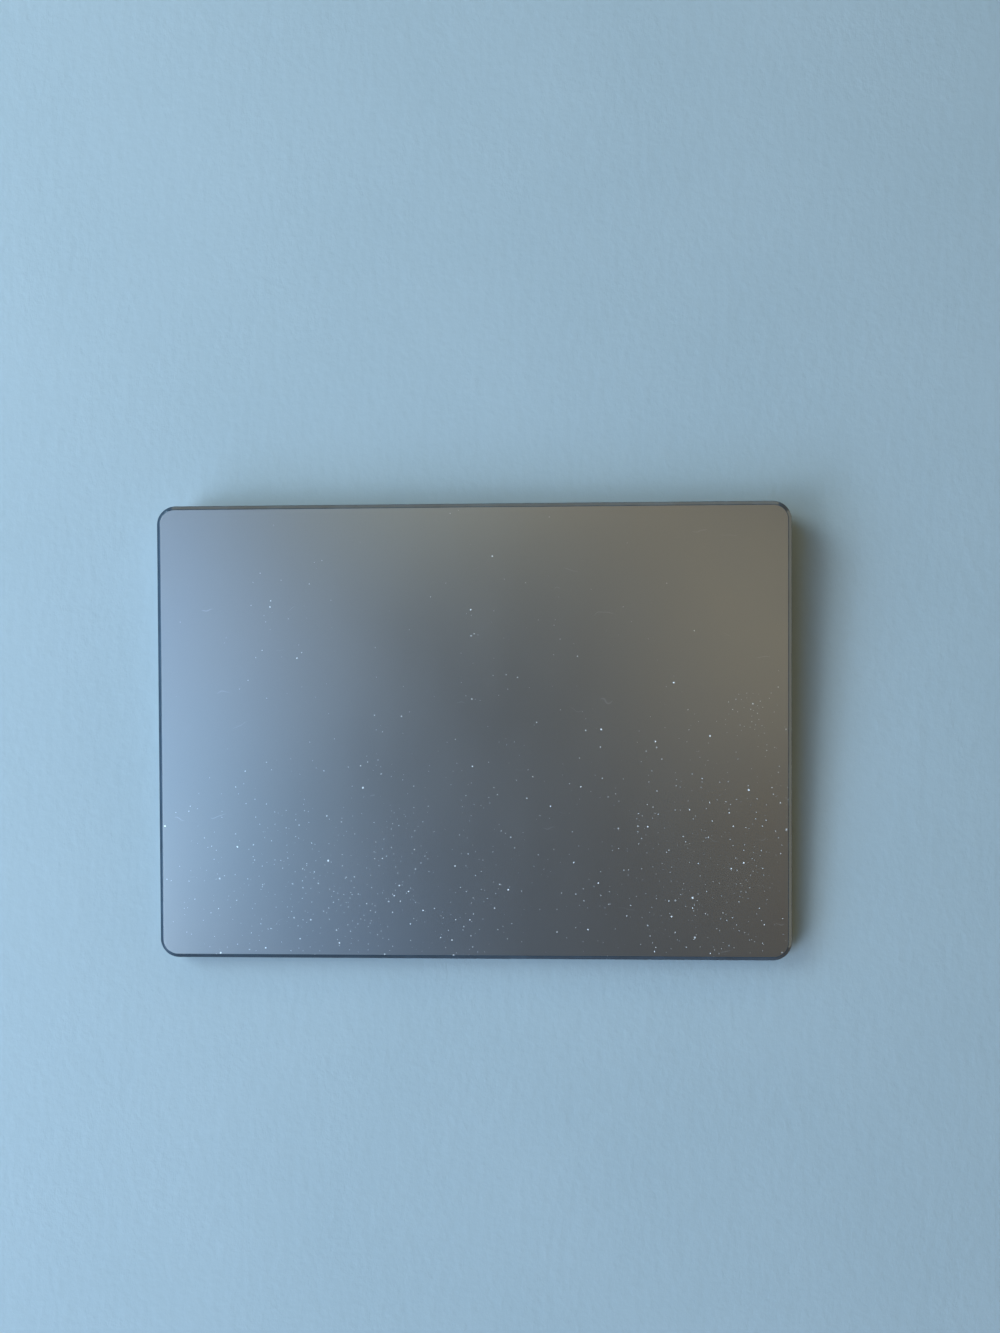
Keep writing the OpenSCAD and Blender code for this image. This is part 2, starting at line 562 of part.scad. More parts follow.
touch_glass();
glass_bond_film();
touch_sensor_board();
sensor_chips();
touch_connector();
deck_stiffener();
haptic_armature();
gel_pads();
leaf_springs();
strain_gauges();
leaf_screws();
gauge_flexes();
housing();
bottom_cover();
rubber_feet();
cover_screws();
haptic_base();
haptic_cores();
haptic_coils();
haptic_screws();
haptic_flex();
battery_cells();
battery_adhesive();
battery_protection_board();
battery_lead();
logic_board();
board_shield();
board_chips();
board_connectors();
board_screws();
touch_flex();
antenna();
antenna_lead();
port_shell();
port_tongue();
port_contacts();
port_body();
port_board();
port_connector();
port_bracket();
port_screws();
port_flex();
switch_knob();
switch_indicator();
switch_frame();
switch_wafer();
switch_screws();
switch_flex();
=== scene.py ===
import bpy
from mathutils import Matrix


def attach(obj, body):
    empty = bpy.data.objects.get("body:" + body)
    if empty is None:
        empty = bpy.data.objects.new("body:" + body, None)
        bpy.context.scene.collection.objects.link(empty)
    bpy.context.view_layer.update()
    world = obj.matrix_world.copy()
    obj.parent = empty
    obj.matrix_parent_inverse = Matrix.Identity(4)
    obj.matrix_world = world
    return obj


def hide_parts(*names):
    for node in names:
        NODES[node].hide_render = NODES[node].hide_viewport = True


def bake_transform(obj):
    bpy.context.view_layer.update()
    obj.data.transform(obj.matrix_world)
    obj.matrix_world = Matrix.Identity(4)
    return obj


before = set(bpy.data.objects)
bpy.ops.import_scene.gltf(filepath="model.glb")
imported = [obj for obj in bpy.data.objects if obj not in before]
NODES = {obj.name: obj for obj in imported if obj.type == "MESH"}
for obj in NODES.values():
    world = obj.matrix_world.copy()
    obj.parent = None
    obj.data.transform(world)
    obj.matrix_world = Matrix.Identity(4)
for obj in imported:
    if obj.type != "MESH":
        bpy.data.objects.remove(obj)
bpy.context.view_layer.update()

import math

import bmesh
import bpy
from mathutils import Quaternion, Vector

SCENE = bpy.context.scene
MM = 0.001

# ---------------------------------------------------------------- sizes, in millimetres

PAD_W, PAD_D, CORNER = 160.0, 114.9, 4.8
FRONT_H, REAR_H = 4.9, 10.9
TILT = math.atan((REAR_H - FRONT_H) / PAD_D)
SIN, COS, TAN = math.sin(TILT), math.cos(TILT), math.tan(TILT)
DECK_LEN = PAD_D / COS
REAR_Y = PAD_D / 2
FLOOR_0, FLOOR_1 = 1.5, 2.2
PORT_Z = 5.2
SWITCH_X, TRAVEL = 48.0, 2.2
KNOB_X, KNOB_W = SWITCH_X - TRAVEL / 2, 4.4
RECESS_W = KNOB_W + TRAVEL + 0.8
STEM_X, STEM_W, STEM_H = KNOB_X - 1.05, 0.9, 0.7
SLOT_X, SLOT_W, SLOT_H = STEM_X + TRAVEL / 2, STEM_W + TRAVEL + 0.4, 1.1
FEET = [(sx * 66.0, sy * 41.0) for sx in (-1, 1) for sy in (-1, 1)]


def deck(x, yd, zd):
    """A point given along and square to the touch surface, in the frame."""
    return (x, yd * COS - zd * SIN - REAR_Y, FRONT_H + yd * SIN + zd * COS)


def deck_level(y, zd):
    """Height above the desk of the deck's level zd over the plan place y."""
    return FRONT_H + (y + REAR_Y) * TAN + zd / COS


# ---------------------------------------------------------------- camera

cam_data = bpy.data.cameras.new("camera")
cam_data.lens = 27.03
cam_data.sensor_width = 36.0
cam_data.clip_start = 0.005
cam = bpy.data.objects.new("camera", cam_data)
turn = Vector([math.radians(a) for a in (2.1545, 1.9487, -0.1902)])
cam.rotation_mode = "QUATERNION"
cam.rotation_quaternion = Quaternion(turn.normalized(), turn.length)
cam.location = (0.015681, 0.006992, 0.259583)
SCENE.collection.objects.link(cam)
SCENE.camera = cam
SCENE.view_settings.view_transform = "Standard"

# ---------------------------------------------------------------- light


def panel(name, azimuth, zenith, distance, width, height, glow, aim=(0, 0, 0)):
    """A soft panel: azimuth 0 is to the right and 90 to the rear, zenith is its angle from straight up."""
    a, z = math.radians(azimuth), math.radians(zenith)
    away = Vector((math.cos(a) * math.sin(z), math.sin(a) * math.sin(z), math.cos(z)))
    data = bpy.data.lights.new(name, "AREA")
    data.shape = "RECTANGLE"
    data.size, data.size_y = width, height
    top = max(glow)
    data.color = [c / top for c in glow]
    data.energy = top * math.pi * width * height
    lamp = bpy.data.objects.new(name, data)
    lamp.location = Vector(aim) + away * distance
    lamp.rotation_mode = "QUATERNION"
    lamp.rotation_quaternion = away.to_track_quat("Z", "Y")
    lamp.visible_camera = False
    SCENE.collection.objects.link(lamp)
    return lamp


# a wide cool side at the left, from high to low
panel("left_top", 190, 20, 1.1, 0.27, 0.23, (0.92, 1.24, 1.71))
panel("left_high_rear", 170, 30, 1.1, 0.33, 0.29, (1.28, 2.19, 3.49))
panel("left_high_front", 205, 30, 1.1, 0.33, 0.29, (0.63, 1.57, 2.63))
panel("front_left_high", 240, 30, 1.1, 0.33, 0.29, (0.24, 0.57, 1.12))
panel("left_middle", 205, 44, 1.1, 0.46, 0.29, (6.42, 8.10, 9.62))
panel("key_rear_left", 150, 57, 1.0, 0.385, 0.317, (6.58, 7.89, 8.53))
panel("key_rear_left_far", 160, 57, 1.6, 0.616, 0.507, (5.42, 6.12, 6.12))
panel("key_front_left", 210, 57, 1.6, 0.616, 0.507, (6.64, 8.26, 10.55))
panel("low_rear_left", 150, 68, 1.7, 0.96, 0.478, (3.57, 6.08, 8.31))
panel("low_left", 185, 68, 1.7, 0.96, 0.478, (3.87, 6.63, 9.80))
panel("low_front_left", 220, 68, 1.7, 0.96, 0.478, (4.93, 7.11, 10.68))
# warm fill from above the right and the rear
panel("fill_right", 0, 17, 1.1, 0.34, 0.27, (1.21, 1.02, 0.61))
panel("fill_rear", 80, 17, 1.1, 0.34, 0.27, (1.33, 1.03, 0.53))
panel("fill_rear_left", 120, 17, 1.1, 0.34, 0.27, (1.37, 1.50, 1.20))
panel("fill_front_right", 322, 27, 1.1, 0.26, 0.26, (0.33, 0.18, 0.00))
# low strips that draw the right and rear edges
panel("strip_right", 0, 77, 1.4, 1.6, 0.30, (1.45, 1.50, 1.25))
panel("strip_rear", 90, 67, 1.4, 1.6, 0.28, (1.70, 1.55, 1.00))

# a dim room with a pale horizon, cool at the left and warm at the right
COOL, WARM = (0.39, 0.47, 0.54), (0.60, 0.48, 0.31)
ZENITH = (0.065, 0.045, 0.02)
world = bpy.data.worlds.new("room")
world.use_nodes = True
air = world.node_tree
look = air.nodes.new("ShaderNodeTexCoord")
axes = air.nodes.new("ShaderNodeSeparateXYZ")
side, rise = air.nodes.new("ShaderNodeMapRange"), air.nodes.new("ShaderNodeMapRange")
side.interpolation_type = rise.interpolation_type = "SMOOTHSTEP"
side.inputs[1].default_value, side.inputs[2].default_value = -0.8, 0.8
rise.inputs[1].default_value, rise.inputs[2].default_value = 0.26, 0.50
band, blend = air.nodes.new("ShaderNodeMixRGB"), air.nodes.new("ShaderNodeMixRGB")
band.inputs[1].default_value, band.inputs[2].default_value = (*COOL, 1), (*WARM, 1)
blend.inputs[2].default_value = (*ZENITH, 1)
air.links.new(look.outputs["Generated"], axes.inputs[0])
air.links.new(axes.outputs[0], side.inputs[0])
air.links.new(axes.outputs[2], rise.inputs[0])
air.links.new(side.outputs[0], band.inputs[0])
air.links.new(band.outputs[0], blend.inputs[1])
air.links.new(rise.outputs[0], blend.inputs[0])
air.links.new(blend.outputs[0], air.nodes["Background"].inputs["Color"])
SCENE.world = world

# ---------------------------------------------------------------- mesh helpers


def rrect(w, d, r, n=24, cx=0.0, cy=0.0, side=0.6):
    """Rounded rectangle, counterclockwise, with a point on each straight side close to its arcs."""
    points = []
    x, y = w / 2 - r, d / 2 - r
    for k, (sx, sy) in enumerate(((1, 1), (-1, 1), (-1, -1), (1, -1))):
        arc = [
            (cx + sx * x + r * math.cos(math.radians(90 * k + 90 * i / n)),
             cy + sy * y + r * math.sin(math.radians(90 * k + 90 * i / n)))
            for i in range(n + 1)
        ]
        if side:
            tx, ty = -math.sin(math.radians(90 * k)), math.cos(math.radians(90 * k))
            arc.insert(0, (arc[0][0] - tx * side, arc[0][1] - ty * side))
            tx, ty = -math.sin(math.radians(90 * k + 90)), math.cos(math.radians(90 * k + 90))
            arc.append((arc[-1][0] + tx * side, arc[-1][1] + ty * side))
        points += arc
    return points


def circle(r, cx=0.0, cy=0.0, n=48):
    return [(cx + r * math.cos(2 * math.pi * i / n), cy + r * math.sin(2 * math.pi * i / n)) for i in range(n)]


def flat(points, z):
    return [(x, y, z) for x, y in points]


def upright(points, y):
    """Points of the X-Z plane at depth y."""
    return [(x, y, z) for x, z in points]


def loft(bm, rings, bands=None, ends=(0, 0), closed=False):
    """Skins rings of equal length, in millimetres. bands and ends are material numbers; an end of None stays open."""
    rows = [[bm.verts.new(Vector(p) * MM) for p in ring] for ring in rings]
    n = len(rows[0])
    pairs = list(zip(rows, rows[1:])) + ([(rows[-1], rows[0])] if closed else [])
    made = []
    for i, (a, b) in enumerate(pairs):
        for k in range(n):
            f = bm.faces.new((a[k], a[(k + 1) % n], b[(k + 1) % n], b[k]))
            f.material_index = bands[i] if bands else 0
            made.append(f)
    if not closed:
        for row, number in ((rows[0][::-1], ends[0]), (rows[-1], ends[1])):
            if number is not None:
                f = bm.faces.new(row)
                f.material_index = number
                made.append(f)
    return made


def lathe(bm, profile, cx=0.0, cy=0.0, n=64, number=0):
    """Turns (radius, z) points about an upright axis; the first and last lie on the axis."""
    rings = [flat(circle(max(r, 0.02), cx, cy, n), z) for r, z in profile]
    return loft(bm, rings, [number] * (len(rings) - 1), (number, number))


def piece(name, bm, materials, body=None, node=None, sharp=32.0):
    bmesh.ops.recalc_face_normals(bm, faces=bm.faces[:])
    mesh = bpy.data.meshes.new(name)
    bm.to_mesh(mesh)
    bm.free()
    o = bpy.data.objects.new(name, mesh)
    SCENE.collection.objects.link(o)
    for m in materials:
        mesh.materials.append(m)
    if body:
        dress(o, body, node, sharp)
    return o


def dress(o, body, node, sharp=32.0):
    for p in o.data.polygons:
        p.use_smooth = True
    o.data.set_sharp_from_angle(angle=math.radians(sharp))
    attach(o, body)
    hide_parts(node)


def boolean(o, operation, builders, materials, own=False):
    """Cuts or joins the solids that the builders draw."""
    bm = bmesh.new()
    for b in builders:
        b(bm)
    tool = piece("cutter", bm, materials)
    mod = o.modifiers.new("cut", "BOOLEAN")
    mod.operation, mod.solver, mod.object = operation, "EXACT", tool
    mod.use_self = own
    mod.material_mode = "INDEX"
    graph = bpy.context.evaluated_depsgraph_get()
    mesh = bpy.data.meshes.new_from_object(o.evaluated_get(graph))
    o.modifiers.clear()
    old, spare = o.data, tool.data
    o.data = mesh
    mesh.name = o.name
    bpy.data.objects.remove(tool)
    bpy.data.meshes.remove(spare)
    bpy.data.meshes.remove(old)


def rod(r, z0, z1, cx, cy, n=40, number=0):
    return lambda bm: loft(bm, [flat(circle(r, cx, cy, n), z0), flat(circle(r, cx, cy, n), z1)], [number], (number, number))


# ---------------------------------------------------------------- material helpers


class Mat:
    def __init__(self, name, **values):
        self.m = bpy.data.materials.new(name)
        self.m.use_nodes = True
        self.tree = self.m.node_tree
        self.b = self.tree.nodes["Principled BSDF"]
        for k, v in values.items():
            self.put(self.b.inputs[k.replace("_", " ")], v)

    def put(self, socket, v):
        if isinstance(v, bpy.types.NodeSocket):
            self.tree.links.new(v, socket)
        elif isinstance(v, tuple) and len(v) == 3 and socket.type == "RGBA":
            socket.default_value = (*v, 1.0)
        else:
            socket.default_value = v

    def node(self, kind, inputs=(), **props):
        n = self.tree.nodes.new("ShaderNode" + kind)
        for k, v in props.items():
            setattr(n, k, v)
        for k, v in dict(inputs).items():
            self.put(n.inputs[k], v)
        return n

    def place(self):
        """Position in the piece's own frame, in millimetres."""
        at = self.node("TexCoord").outputs["Object"]
        return self.node("VectorMath", {0: at, 3: 1000.0}, operation="SCALE").outputs[0]

    def calc(self, operation, a, b=0.0, clamp=False):
        return self.node("Math", {0: a, 1: b}, operation=operation, use_clamp=clamp).outputs[0]

    def stretch(self, at, x, y, z, turn=0.0):
        return self.node("Mapping", {"Vector": at, "Scale": (x, y, z), "Rotation": (0, 0, turn)}).outputs[0]

    def noise(self, at, size, detail=3.0, rough=0.5, shift=0.0):
        """Noise whose features are about size millimetres."""
        if shift:
            at = self.node("VectorMath", {0: at, 1: (shift, shift * 0.7, shift * 1.3)}, operation="ADD").outputs[0]
        return self.node("TexNoise", {"Vector": at, "Scale": 1.0 / size, "Detail": detail, "Roughness": rough}).outputs[0]

    def spread(self, fac, lo, hi, a, b, smooth=False):
        return self.node("MapRange", {0: fac, 1: lo, 2: hi, 3: a, 4: b}, interpolation_type="SMOOTHSTEP" if smooth else "LINEAR").outputs[0]

    def mix(self, fac, a, b, how="MIX"):
        return self.node("MixRGB", {"Fac": fac, "Color1": a, "Color2": b}, blend_type=how).outputs[0]

    def bump(self, height, distance, strength=1.0, base=None):
        """Relief; distance in millimetres."""
        ins = {"Height": height, "Distance": distance * MM, "Strength": strength}
        if base is not None:
            ins["Normal"] = base
        return self.node("Bump", ins).outputs[0]

    def finish(self, colour=None, rough=None, normal=None, metal=None):
        for key, v in (("Base Color", colour), ("Roughness", rough), ("Normal", normal), ("Metallic", metal)):
            if v is not None:
                self.put(self.b.inputs[key], v)
        return self.m

    def specks(self, at, size, radius, density):
        """Scattered grains: size is their spacing and radius theirs, density the share of places that hold one."""
        v = self.node("TexVoronoi", {"Vector": at, "Scale": 1.0 / size, "Randomness": 1.0}, voronoi_dimensions="2D")
        c = self.node("SeparateColor", {0: v.outputs["Color"]})
        own = self.spread(c.outputs[1], 0.0, 1.0, 0.45 * radius / size, 1.25 * radius / size)
        near = self.spread(self.calc("DIVIDE", v.outputs["Distance"], own), 0.72, 1.08, 1.0, 0.0, True)
        here = self.calc("LESS_THAN", c.outputs[0], density)
        pale = self.spread(c.outputs[2], 0.0, 1.0, 0.35, 1.0)
        return self.calc("MULTIPLY", self.calc("MULTIPLY", near, here), pale)

    def blot(self, at, x, y, r):
        """1 at a place on the plan, falling to 0 at r millimetres."""
        d = self.node("VectorMath", {0: self.stretch(at, 1, 1, 0), 1: (x, y, 0)}, operation="DISTANCE").outputs["Value"]
        return self.spread(d, 0.0, r, 1.0, 0.0, True)


def grained(name, dark, pale, size, rough, metal=0.0, relief=0.0, fine=0.2, along=(1, 1, 1), swing=0.06, **more):
    """A surface whose colour and gloss wander over size millimetres, with a fine relief."""
    g = Mat(name, Metallic=metal, **more)
    at = g.place()
    run = g.stretch(at, *along)
    wide = g.noise(run, size, 4.0, 0.55)
    small = g.noise(run, fine, 2.0, 0.6, 31.0)
    colour = g.mix(g.spread(wide, 0.3, 0.7, 0.0, 1.0), dark, pale)
    gloss = g.spread(g.calc("ADD", g.calc("MULTIPLY", wide, 0.6), g.calc("MULTIPLY", small, 0.4)), 0.3, 0.7, rough - swing, rough + swing)
    normal = g.bump(small, relief) if relief else None
    return g.finish(colour, gloss, normal)


# ---------------------------------------------------------------- touch glass


def satin_glass():
    g = Mat("satin_glass_top", IOR=1.5, Specular_Tint=(0.4, 0.4, 0.4))
    at = g.place()
    plan = g.stretch(at, 1, 1, 0)
    # etched surface: a very fine grain, and gloss that wanders where fingers polish it
    etch = g.noise(at, 0.09, 2.0, 0.6)
    cloud = g.noise(plan, 38.0, 3.0, 0.5)
    smear = g.noise(g.stretch(plan, 1, 0.35, 1, 0.5), 11.0, 4.0, 0.6, 9.0)
    gloss = g.spread(g.calc("ADD", g.calc("MULTIPLY", cloud, 0.55), g.calc("MULTIPLY", smear, 0.45)), 0.35, 0.65, 0.295, 0.325)
    tone = g.mix(g.spread(etch, 0.3, 0.7, 0.0, 1.0), (0.212, 0.216, 0.221), (0.234, 0.238, 0.243))
    # dust lies thicker towards the front left corner, along the front and at the right
    torn = g.node("VectorMath", {
        0: plan,
        1: g.node("VectorMath", {0: g.node("TexNoise", {"Vector": plan, "Scale": 4.0, "Detail": 1.0}).outputs["Color"], 3: 0.3}, operation="SCALE").outputs[0],
    }, operation="ADD").outputs[0]
    thick = g.calc("MULTIPLY", g.blot(plan, -46, -44, 52), 0.36)
    for x, y, r, s in ((-10, -46, 60, 0.26), (62, -22, 44, 0.34), (56, -48, 36, 0.32), (70, 4, 10, 0.60), (-48, 24, 34, 0.08), (8, 8, 60, 0.07)):
        thick = g.calc("ADD", thick, g.calc("MULTIPLY", g.blot(plan, x, y, r), s))
    big = g.specks(torn, 4.6, 0.21, g.calc("MULTIPLY", thick, 0.36))
    mid = g.specks(g.stretch(torn, 1, 1, 1, 0.7), 2.7, 0.16, g.calc("MULTIPLY", thick, 0.62))
    small = g.specks(g.stretch(torn, 1, 1, 1, 1.9), 1.4, 0.10, g.calc("MULTIPLY", thick, 0.85))
    # a few lint hairs and hairline scratches
    bent = g.node("VectorMath", {
        0: plan,
        1: g.node("VectorMath", {0: g.node("TexNoise", {"Vector": plan, "Scale": 0.22, "Detail": 1.0}).outputs["Color"], 3: 5.0}, operation="SCALE").outputs[0],
    }, operation="ADD").outputs[0]
    hair_a = g.specks(g.stretch(bent, 0.045, 1.0, 1.0, 0.15), 1.6, 0.10, 0.05)
    hair_b = g.specks(g.stretch(bent, 0.06, 1.0, 1.0, 1.75), 1.9, 0.10, 0.045)
    hairs = g.calc("MULTIPLY", g.calc("ADD", hair_a, hair_b, True), 0.16)
    dust = g.calc("ADD", g.calc("ADD", big, mid, True), g.calc("MULTIPLY", small, 0.8), True)
    colour = g.mix(hairs, g.mix(dust, tone, (0.80, 0.83, 0.86)), (0.62, 0.65, 0.68))
    rough = g.calc("ADD", gloss, g.calc("MULTIPLY", dust, 0.4), True)
    normal = g.bump(g.calc("ADD", g.calc("MULTIPLY", etch, 0.3), dust), 0.010, 0.5)
    # dust and lint lie on the surface and do not shine as it does
    metal = g.spread(g.calc("ADD", dust, hairs, True), 0.0, 1.0, 0.85, 0.0)
    return g.finish(colour, rough, normal, metal)


def glass_rim():
    g = Mat("glass_rim_polished", IOR=1.52)
    at = g.place()
    wear = g.noise(at, 6.0, 4.0, 0.6)
    fine = g.noise(at, 0.25, 2.0, 0.6, 5.0)
    # dark edge colour of the glass, tinted blue as a painted reflection of the pale blue floor
    colour = g.mix(g.spread(wear, 0.35, 0.7, 0.0, 1.0), (0.013, 0.029, 0.046), (0.023, 0.046, 0.070))
    return g.finish(colour, g.spread(fine, 0.3, 0.7, 0.07, 0.11), g.bump(fine, 0.0015, 0.4))


MAT_SATIN = satin_glass()
MAT_RIM = glass_rim()
MAT_INK = grained("glass_back_ink", (0.016, 0.017, 0.018), (0.026, 0.027, 0.029), 3.0, 0.5, relief=0.004)


def build_glass():
    w, d, r = PAD_W - 0.2, DECK_LEN - 0.2, CORNER - 0.05

    def ring(inset, z):
        return [deck(x, DECK_LEN / 2 + y, z) for x, y in rrect(w - 2 * inset, d - 2 * inset, max(r - inset, 0.3), 28)]

    # flat field, tight turn, ground bevel, round outer edge, side, small lower chamfer
    inset, z, slope = 1.06, 0.0, math.radians(31)
    rings, bands = [ring(3.4, 0), ring(inset + 0.04, 0), ring(inset, 0)], [0, 0]
    small = 0.32
    for i in range(1, 6):
        a = slope * i / 5
        rings.append(ring(inset - small * math.sin(a), -small * (1 - math.cos(a))))
        bands.append(1)
    inset -= small * math.sin(slope); z = -small * (1 - math.cos(slope))
    large = 0.30
    run = inset - large * (1 - math.sin(slope))
    inset -= run; z -= run * math.tan(slope)
    rings.append(ring(inset, z)); bands.append(1)
    for i in range(1, 9):
        a = slope + (math.pi / 2 - slope) * i / 8
        rings.append(ring(inset - large * (math.sin(a) - math.sin(slope)), z - large * (math.cos(slope) - math.cos(a))))
        bands.append(1)
    rings += [ring(0, -0.88), ring(0.12, -1.0), ring(0.6, -1.0), ring(3.0, -1.0)]
    bands += [1, 1, 2, 2]
    bm = bmesh.new()
    loft(bm, rings, bands, (0, 2))
    return piece("touch_glass_fine", bm, [MAT_SATIN, MAT_RIM, MAT_INK], "touch_deck", "touch_glass", 50)


build_glass()

# ---------------------------------------------------------------- housing


def blasted_aluminium(name, dark, pale, rough):
    g = Mat(name, Metallic=1.0)
    at = g.place()
    grain = g.noise(at, 0.11, 2.0, 0.65)
    grit = g.noise(at, 0.30, 2.0, 0.5, 17.0)
    cloud = g.noise(at, 26.0, 3.0, 0.5)
    colour = g.mix(g.spread(g.calc("ADD", g.calc("MULTIPLY", grain, 0.6), g.calc("MULTIPLY", cloud, 0.4)), 0.35, 0.65, 0.0, 1.0), dark, pale)
    gloss = g.spread(grit, 0.3, 0.7, rough - 0.05, rough + 0.05)
    normal = g.bump(g.calc("ADD", g.calc("MULTIPLY", grain, 0.5), grit), 0.010, 0.75)
    return g.finish(colour, gloss, normal)


MAT_ALU = blasted_aluminium("aluminium_blasted", (0.300, 0.310, 0.325), (0.365, 0.375, 0.392), 0.42)
MAT_CUT = grained("aluminium_cut_edge", (0.46, 0.47, 0.49), (0.60, 0.61, 0.63), 1.5, 0.22, metal=1.0, relief=0.003, fine=0.08)
MAT_TUB = grained("aluminium_inside", (0.36, 0.37, 0.385), (0.44, 0.45, 0.465), 5.0, 0.45, metal=1.0, relief=0.004, fine=0.3, along=(1, 0.12, 1))


def build_housing():
    rim = -1.4

    def outer(inset):
        return rrect(PAD_W - 2 * inset, PAD_D - 2 * inset, CORNER - inset)

    def inner(inset):
        return rrect(156.8 - 2 * inset, 111.7 - 2 * inset, max(3.2 - inset, 0.3))

    def recess(inset):
        return rrect(150.3 - 2 * inset, 105.2 - 2 * inset, max(3.15 - inset, 0.3))

    def sloped(points, zd):
        return [(x, y, deck_level(y, zd)) for x, y in points]

    rings, bands = [flat(recess(4.0), FLOOR_0), flat(recess(0.0), FLOOR_0)], [2]
    rings += [flat(recess(0.0), 0.75), flat(recess(-0.15), 0.6), flat(recess(-0.9), 0.6), flat(outer(2.6), 0.6)]
    bands += [2, 1, 0, 0]
    for i in range(13):
        a = math.pi / 2 * i / 12
        rings.append(flat(outer(2.0 * (1 - math.sin(a))), 0.6 + 2.0 * (1 - math.cos(a))))
        bands.append(0)
    rings += [flat(outer(0), 3.0), sloped(outer(0), rim - 0.36), sloped(outer(0), rim - 0.16), sloped(outer(0.16), rim), sloped(inner(-0.1), rim), sloped(inner(0), rim - 0.1)]
    bands += [0, 0, 0, 0, 0, 1]
    rings += [flat(inner(0), 2.75), flat(inner(0), 2.6)]
    bands += [2, 2]
    for i in range(1, 6):
        a = math.pi / 2 * i / 5
        rings.append(flat(inner(0.4 * (1 - math.cos(a))), 2.6 - 0.4 * math.sin(a)))
        bands.append(2)
    rings.append(flat(inner(2.8), FLOOR_1)); bands.append(2)
    bm = bmesh.new()
    loft(bm, rings, bands, (2, 2))
    mats = [MAT_ALU, MAT_CUT, MAT_TUB]
    o = piece("housing_fine", bm, mats)

    # blocks under the leaf springs, and bosses
    z_boss = -2.8
    adds = []
    for sx in (-1, 1):
        for yd in (9.0, DECK_LEN - 9.0):
            cy = yd * COS - z_boss * SIN - REAR_Y
            plan = rrect(13.0, 9.2, 0.35, 4, sx * 69.0, cy, 0)
            adds.append(lambda bm, plan=plan: loft(bm, [flat(plan, 1.9), [(x, y, deck_level(y, z_boss)) for x, y in plan]], [2], (2, 2)))
    adds += [rod(2.0, 1.9, 2.6, x, y, number=2) for x, y in FEET]
    adds += [rod(1.8, 1.9, 2.8, x, y, number=2) for x, y in ((37.3, 14.5), (69.5, 14.5), (69.5, 33.0), (53.5, 40.5))]
    adds += [rod(1.6, 1.9, PORT_Z - 2.45, sx * 6.7, REAR_Y - 5.45, number=2) for sx in (-1, 1)]
    boolean(o, "UNION", adds, mats)

    # screw holes
    wide, thin = [], []
    for sx in (-1, 1):
        for yd in (9.0, DECK_LEN - 9.0):
            for dx in (-3.3, 3.3):
                x = sx * 69.0 + dx

                def hole(r, lo, hi, x=x, yd=yd):
                    rings = [[deck(px, yd + py, z) for px, py in circle(r, x, 0, 40)] for z in (lo, hi)]
                    return lambda bm: loft(bm, rings, [2], (2, 2))

                wide.append(hole(1.45, -(FRONT_H + yd * SIN - 0.9), z_boss - 0.55))
                thin.append(hole(0.83, z_boss - 0.8, 0.0))
    boolean(o, "DIFFERENCE", wide, mats)
    thin += [rod(0.83, 0.5, 3.1, x, y, number=2) for x, y in FEET]
    thin += [rod(0.73, 1.9, 4.9, x, y, number=2) for x, y in ((37.3, 14.5), (69.5, 14.5), (69.5, 33.0), (53.5, 40.5))]
    thin += [rod(0.73, 0.5, 3.5, sx * 35.0, y, number=2) for sx in (-1, 1) for y in (-8.5, 6.5)]
    thin += [rod(0.73, 1.9, 4.9, sx * 6.7, REAR_Y - 5.45, number=2) for sx in (-1, 1)]
    window = rrect(21, 3.6, 1.2, 10, -34, REAR_Y - 7.2, 0)
    thin.append(lambda bm: loft(bm, [flat(window, 0.5), flat(window, 3.5)], [2], (2, 2)))
    boolean(o, "DIFFERENCE", thin, mats)

    # charging port mouth and switch recess, each with a cut edge, and the switch slot
    def pill(w, h, grow=0.0):
        return rrect(w + 2 * grow, h + 2 * grow, h / 2 - 0.02 + grow, 16, 0, 0, 0)

    def at(points, x):
        return [(px + x, pz + PORT_Z) for px, pz in points]

    def mouth(bm):
        steps = ((0.0, REAR_Y - 4.0), (0.0, REAR_Y - 0.22), (0.22, REAR_Y), (0.22, REAR_Y + 1.0))
        loft(bm, [upright(at(pill(9.3, 3.6, g), 0), y) for g, y in steps], [2, 1, 1], (2, 2))

    def dish(bm):
        steps = ((-0.12, REAR_Y - 0.75), (0.0, REAR_Y - 0.63), (0.0, REAR_Y - 0.16), (0.16, REAR_Y), (0.16, REAR_Y + 1.0))
        loft(bm, [upright(at(pill(RECESS_W, 3.2, g), SWITCH_X), y) for g, y in steps], [0, 0, 1, 1], (0, 0))

    def slit(bm):
        loft(bm, [upright(at(pill(SLOT_W, SLOT_H), SLOT_X), y) for y in (REAR_Y - 4.0, REAR_Y + 0.5)], [2], (2, 2))

    def pegs(bm):
        for sx in (-1, 1):
            loft(bm, [upright([(px + SWITCH_X + sx * 6.2, pz + PORT_Z) for px, pz in circle(0.63)], y) for y in (REAR_Y - 3.5, REAR_Y - 0.5)], [2], (2, 2))

    boolean(o, "DIFFERENCE", [mouth, dish, pegs], mats)
    boolean(o, "DIFFERENCE", [slit], mats)
    dress(o, "base", "housing", 30)
    return o


build_housing()

# ---------------------------------------------------------------- bottom cover and feet


def moulded(name, dark, pale, rough):
    g = Mat(name, IOR=1.49)
    at = g.place()
    stipple = g.node("TexVoronoi", {"Vector": at, "Scale": 2.6}, feature="SMOOTH_F1").outputs["Distance"]
    fine = g.noise(at, 0.16, 2.0, 0.6)
    cloud = g.noise(at, 18.0, 3.0, 0.5, 4.0)
    colour = g.mix(g.spread(cloud, 0.3, 0.7, 0.0, 1.0), dark, pale)
    height = g.calc("ADD", stipple, g.calc("MULTIPLY", fine, 0.5))
    return g.finish(colour, g.spread(fine, 0.3, 0.7, rough - 0.06, rough + 0.06), g.bump(height, 0.02, 0.6))


